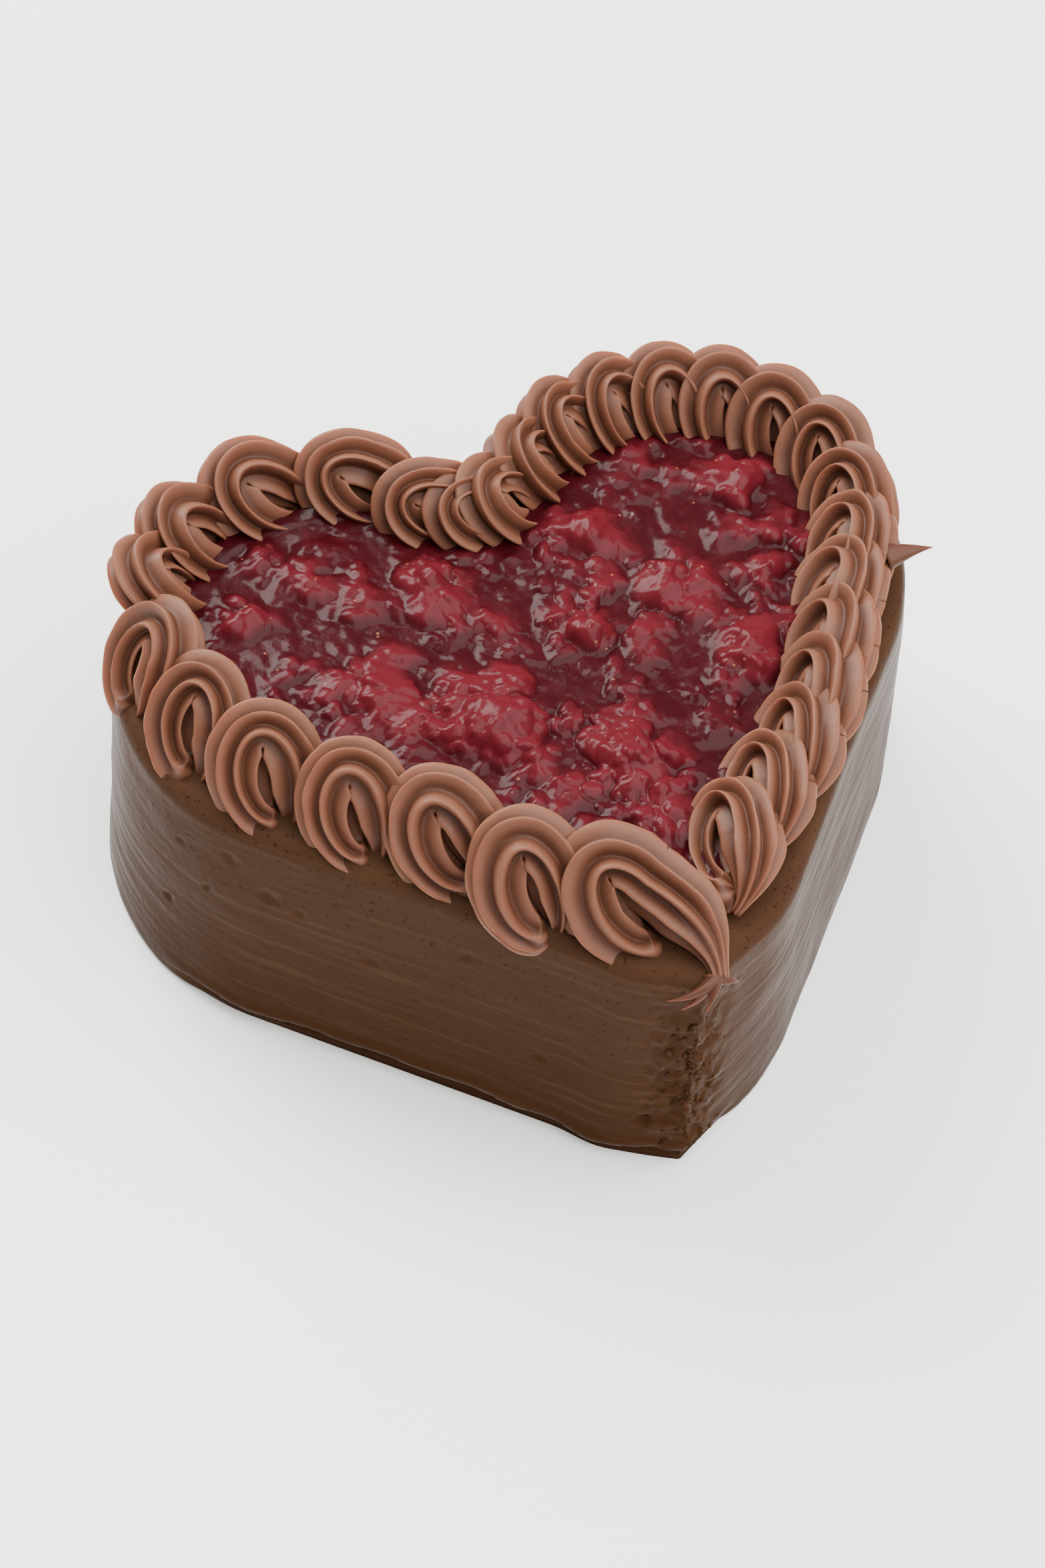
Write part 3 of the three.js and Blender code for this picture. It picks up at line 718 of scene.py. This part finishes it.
def glaze_finish(block):
    """Dark chocolate glaze: paler and greyer toward the top, a painted reflection of the pale room,
    with long pale streaks, in which it is glossier, and fine dark specks, more of them near the top."""
    finish = Finish("chocolate glaze")
    place = finish.place()
    split = finish.node("ShaderNodeSeparateXYZ")
    finish.join(place, split.inputs["Vector"])
    # This height ramp greys the glaze toward the top, a painted reflection of the pale room.
    high = finish.ramp(split.outputs["Z"], 0.004, 0.05)
    cloud = finish.noise(place, 45.0, 5.0)
    tone = finish.math("ADD", finish.math("MULTIPLY", high, 0.75), finish.math("MULTIPLY", cloud, 0.3))
    base = finish.mix(tone, block.low_colour, block.high_glaze_and_sheen)
    wall = finish.node("ShaderNodeCombineXYZ")
    finish.join(finish.mark("along"), wall.inputs["X"])
    finish.join(split.outputs["Z"], wall.inputs["Y"])
    drawn_out = finish.stretch(wall.outputs["Vector"], (30.0, 700.0, 1.0), (0, 0, 0.1))
    streaks = finish.noise(drawn_out, 1.0, 6.0)
    streak = finish.ramp(streaks, 0.5, 0.72)
    base = finish.mix(finish.math("MULTIPLY", streak, 0.5), base, block.streak_colour)
    specks = finish.ramp(finish.noise(place, 1000.0, 3.0), 0.61, 0.7)
    specks = finish.math("MULTIPLY", specks, finish.ramp(high, 0.3, 1.0, 0.2, 0.65))
    base = finish.mix(specks, base, block.speck_colour)
    finish.join(base, finish.shader.inputs["Base Color"])
    rough = finish.ramp(streaks, 0.3, 0.7, block.roughness + 0.08, block.roughness - 0.08)
    finish.join(rough, finish.shader.inputs["Roughness"])
    low = finish.bump(streaks, 0.0003, 0.08)
    fine = finish.bump(finish.noise(place, 700.0, 5.0), 0.00015, 0.5, low)
    finish.join(fine, finish.shader.inputs["Normal"])
    finish.shader.inputs["Specular IOR Level"].default_value = 0.02
    finish.shader.inputs["Specular Tint"].default_value = (1.0, 0.72, 0.5, 1.0)
    return finish.material


def buttercream_finish(border):
    """Milk-chocolate buttercream: paler on the crests as painted light, deeper in the grooves as
    painted shade, faintly cloudy, with a fine sugary grain and soft light through its thin edges."""
    finish = Finish("chocolate buttercream")
    place = finish.place()
    cloud = finish.noise(place, 160.0, 4.0)
    ridge = finish.math("ADD", finish.mark("ridge"), finish.math("MULTIPLY", cloud, 0.35))
    # The ridge mark blends the groove colour, painted shade in the grooves, into the crest colour,
    # painted light on the crests.
    base = finish.mix(finish.ramp(ridge, 0.1, 1.0), border.shaded_groove_colour, border.lit_crest_colour)
    finish.join(base, finish.shader.inputs["Base Color"])
    finish.shader.inputs["Roughness"].default_value = border.roughness
    grain = finish.bump(finish.noise(place, 2600.0, 3.0, 0.6), 0.00008, 0.45)
    wave = finish.bump(finish.noise(place, 420.0, 3.0), 0.00025, 0.4, grain)
    finish.join(wave, finish.shader.inputs["Normal"])
    finish.shader.inputs["Subsurface Weight"].default_value = 0.3
    finish.shader.inputs["Subsurface Radius"].default_value = (0.0030, 0.0012, 0.0006)
    finish.shader.inputs["Subsurface Scale"].default_value = 1.0
    finish.shader.inputs["Specular IOR Level"].default_value = 0.2
    return finish.material


def fruit_finish(filling):
    """Cooked fruit in syrup: dark in the pools, redder on the standing flesh, cloudy with pulp,
    with tiny pale specks of seed that are also painted glints, a wet coat, and light that goes some way
    in."""
    finish = Finish("fruit in syrup")
    place = finish.place()
    pulp = finish.noise(place, 260.0, 6.0, 0.6)
    standing = finish.ramp(finish.mark("standing"), 0.0, 2.2, 0.0, 0.62)
    flesh = finish.math("ADD", standing, finish.math("MULTIPLY", pulp, 0.6))
    base = finish.mix(finish.ramp(flesh, 0.2, 0.95), filling.syrup_colour, filling.fruit_colour)
    # Tiny pale specks: fruit seed, and painted glints of light on the wet surface.
    seeds_and_glints = finish.ramp(finish.cells(place, 420.0), 0.13, 0.09)
    some = finish.ramp(finish.noise(place, 300.0, 1.0), 0.58, 0.62)
    seed = finish.math("MULTIPLY", finish.math("MULTIPLY", seeds_and_glints, some), 0.3)
    base = finish.mix(seed, base, (0.5, 0.2, 0.1))
    finish.join(base, finish.shader.inputs["Base Color"])
    rough = finish.ramp(pulp, 0.3, 0.7, filling.roughness - 0.03, filling.roughness + 0.12)
    finish.join(rough, finish.shader.inputs["Roughness"])
    fine = finish.bump(finish.noise(place, 900.0, 4.0, 0.6), 0.0002, 0.25)
    lumpy = finish.bump(finish.noise(place, 380.0, 4.0, 0.6), 0.0006, 0.28, fine)
    finish.join(lumpy, finish.shader.inputs["Normal"])
    finish.shader.inputs["Subsurface Weight"].default_value = 0.25
    finish.shader.inputs["Subsurface Radius"].default_value = (0.003, 0.0005, 0.0006)
    finish.shader.inputs["Subsurface Scale"].default_value = 1.0
    finish.shader.inputs["Coat Weight"].default_value = 0.1
    finish.shader.inputs["Specular IOR Level"].default_value = 0.06
    finish.shader.inputs["Coat Roughness"].default_value = 0.06
    finish.shader.inputs["Coat IOR"].default_value = 1.4
    return finish.material


def made_once(name, make, settings):
    """The material of that name, made the first time that it is asked for."""
    return bpy.data.materials.get(name) or make(settings)


# ------------------------------------------------------------------ operators
class CAKE_OT_block(bpy.types.Operator):
    """Make the glazed heart-shaped block"""

    bl_idname = "cake.block"
    bl_label = "Glazed block"

    def execute(self, context):
        block = context.scene.cake_block
        grid, along = block_surface(block)
        marks = {"along": along / MM}
        piece = skin("glazed_block", grid, np.zeros(3), [0.0, 0.0, block.height * MM], marks)
        settle(piece, made_once("chocolate glaze", glaze_finish, block), "glaze", "cake_block")
        return {"FINISHED"}


class CAKE_OT_filling(bpy.types.Operator):
    """Make the fruit filling inside the border"""

    bl_idname = "cake.filling"
    bl_label = "Fruit filling"

    def execute(self, context):
        filling = context.scene.cake_filling
        bottom = context.scene.cake_block.height * MM + 0.2
        grid, start, end, wet = filling_surface(filling, bottom)
        piece = skin("cooked_fruit", grid, start, end, {"standing": wet})
        settle(piece, made_once("fruit in syrup", fruit_finish, filling), "fruit", "fruit_filling")
        return {"FINISHED"}


class CAKE_OT_border(bpy.types.Operator):
    """Pipe the swirls round the top"""

    bl_idname = "cake.border"
    bl_label = "Piped border"

    def execute(self, context):
        border = context.scene.cake_border
        material = made_once("chocolate buttercream", buttercream_finish, border)
        for swirl in all_swirls(border):
            grid, start, end, ridge = swirl_surface(swirl, border)
            # The ridge mark also places the painted light on the crests and the painted shade in the
            # grooves.
            piece = skin(f"piped_{swirl.name}", grid, start, end, {"ridge": ridge})
            settle(piece, material, "buttercream", swirl.name)
        return {"FINISHED"}


class CAKE_OT_pulled_ends(bpy.types.Operator):
    """Make the small pulled ends of buttercream"""

    bl_idname = "cake.pulled_ends"
    bl_label = "Pulled ends"

    def execute(self, context):
        border = context.scene.cake_border
        material = made_once("chocolate buttercream", buttercream_finish, border)
        for name, base, point, bend, radius in PULLED_ENDS:
            settle(skin(name, *horn_surface(base, point, bend, radius)), material, "buttercream")
        return {"FINISHED"}


class CAKE_OT_crumbs(bpy.types.Operator):
    """Scatter crumbs of glaze on the rough corner"""

    bl_idname = "cake.crumbs"
    bl_label = "Crumbs"

    def execute(self, context):
        block = context.scene.cake_block
        material = made_once("chocolate glaze", glaze_finish, block)
        points, faces = crumb_surface(block)
        mesh = bpy.data.meshes.new("glaze_crumbs")
        mesh.from_pydata((points / MM).tolist(), [], faces.tolist())
        mesh.polygons.foreach_set("use_smooth", np.ones(len(mesh.polygons), bool))
        piece = bpy.data.objects.new("glaze_crumbs", mesh)
        context.scene.collection.objects.link(piece)
        settle(piece, material, "glaze")
        return {"FINISHED"}


class CAKE_OT_stage(bpy.types.Operator):
    """Make the floor, the soft lights and the camera"""

    bl_idname = "cake.stage"
    bl_label = "Floor, lights and camera"

    def execute(self, context):
        stage = context.scene.cake_stage
        add_floor(stage)
        add_lights()
        add_camera(stage)
        return {"FINISHED"}


def add_floor(stage):
    """A plain floor with a soft, matt finish."""
    mesh = bpy.data.meshes.new("floor")
    reach = 3.0
    corners = [(-reach, -reach, 0), (reach, -reach, 0), (reach, reach, 0), (-reach, reach, 0)]
    mesh.from_pydata(corners, [], [(0, 1, 2, 3)])
    floor = bpy.data.objects.new("floor", mesh)
    bpy.context.scene.collection.objects.link(floor)
    finish = Finish("pale floor")
    finish.shader.inputs["Base Color"].default_value = (*stage.floor_colour, 1.0)
    finish.shader.inputs["Roughness"].default_value = 0.6
    mesh.materials.append(finish.material)


def add_light(name, place, look_at, size, power, tint):
    """A square area light at a place, turned to look at a point."""
    data = bpy.data.lights.new(name, "AREA")
    data.size, data.energy, data.color = size, power, tint
    light = bpy.data.objects.new(name, data)
    light.location = place
    light.rotation_euler = (Vector(look_at) - Vector(place)).to_track_quat("-Z", "Y").to_euler()
    bpy.context.scene.collection.objects.link(light)


def add_lights():
    """A soft window behind, a large soft light high up in front and to the right, and an even
    pale room."""
    add_light("window", (-0.3, 1.1, 1.1), (0, 0, 0.03), 1.0, 52.0, (1.0, 0.99, 0.97))
    add_light("ceiling", (0.5, -0.45, 1.35), (0, 0, 0.03), 2.0, 76.0, (1.0, 0.99, 0.98))
    world = bpy.data.worlds.new("pale room")
    world.use_nodes = True
    background = world.node_tree.nodes["Background"]
    background.inputs["Color"].default_value = (0.93, 0.96, 1.0, 1.0)
    background.inputs["Strength"].default_value = 0.62
    bpy.context.scene.world = world


def add_camera(stage):
    """The photograph's viewpoint: the camera stands at its distance from the target, round by the
    azimuth and up by the elevation, and leans by the roll. Its long side is 36 mm of film."""
    e, a = stage.elevation, stage.azimuth
    look = Vector((-math.sin(a) * math.cos(e), math.cos(a) * math.cos(e), -math.sin(e)))
    right = look.cross(Vector((0, 0, 1))).normalized()
    up = right.cross(look)
    c, s = math.cos(stage.roll), math.sin(stage.roll)
    leaning_right, leaning_up = c * right + s * up, c * up - s * right
    data = bpy.data.cameras.new("camera")
    data.sensor_fit, data.sensor_width, data.lens = "AUTO", 36.0, 64.29
    data.clip_start = 0.01
    camera = bpy.data.objects.new("camera", data)
    axes = Matrix((leaning_right, leaning_up, -look)).transposed()
    place = Vector(stage.target) - look * stage.distance
    camera.matrix_world = Matrix.Translation(place) @ axes.to_4x4()
    bpy.context.scene.collection.objects.link(camera)
    bpy.context.scene.camera = camera


class CAKE_PT_panel(bpy.types.Panel):
    """The cake's pieces and sizes"""

    bl_label = "Heart-shaped cake"
    bl_idname = "CAKE_PT_panel"
    bl_space_type = "VIEW_3D"
    bl_region_type = "UI"
    bl_category = "Cake"

    def draw(self, context):
        for group, operators in PANEL_ROWS:
            box = self.layout.box()
            for operator in operators:
                box.operator(operator.bl_idname)
            settings = getattr(context.scene, group)
            for setting in settings.__annotations__:
                box.prop(settings, setting)


SETTINGS = {
    "cake_block": CakeBlockSettings,
    "cake_border": CakeBorderSettings,
    "cake_filling": CakeFillingSettings,
    "cake_stage": CakeStageSettings,
}
PANEL_ROWS = (
    ("cake_block", (CAKE_OT_block, CAKE_OT_crumbs)),
    ("cake_filling", (CAKE_OT_filling,)),
    ("cake_border", (CAKE_OT_border, CAKE_OT_pulled_ends)),
    ("cake_stage", (CAKE_OT_stage,)),
)
OPERATORS = [operator for _, operators in PANEL_ROWS for operator in operators]


def register():
    for item in (*SETTINGS.values(), *OPERATORS, CAKE_PT_panel):
        bpy.utils.register_class(item)
    for name, group in SETTINGS.items():
        setattr(bpy.types.Scene, name, bpy.props.PointerProperty(type=group))


def unregister():
    for name in SETTINGS:
        delattr(bpy.types.Scene, name)
    for item in reversed((*SETTINGS.values(), *OPERATORS, CAKE_PT_panel)):
        bpy.utils.unregister_class(item)


def main():
    """Registers the classes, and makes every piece."""
    register()
    bpy.ops.cake.block()
    bpy.ops.cake.crumbs()
    bpy.ops.cake.filling()
    bpy.ops.cake.border()
    bpy.ops.cake.pulled_ends()
    bpy.ops.cake.stage()
    bpy.context.view_layer.update()


if __name__ == "__main__":
    main()
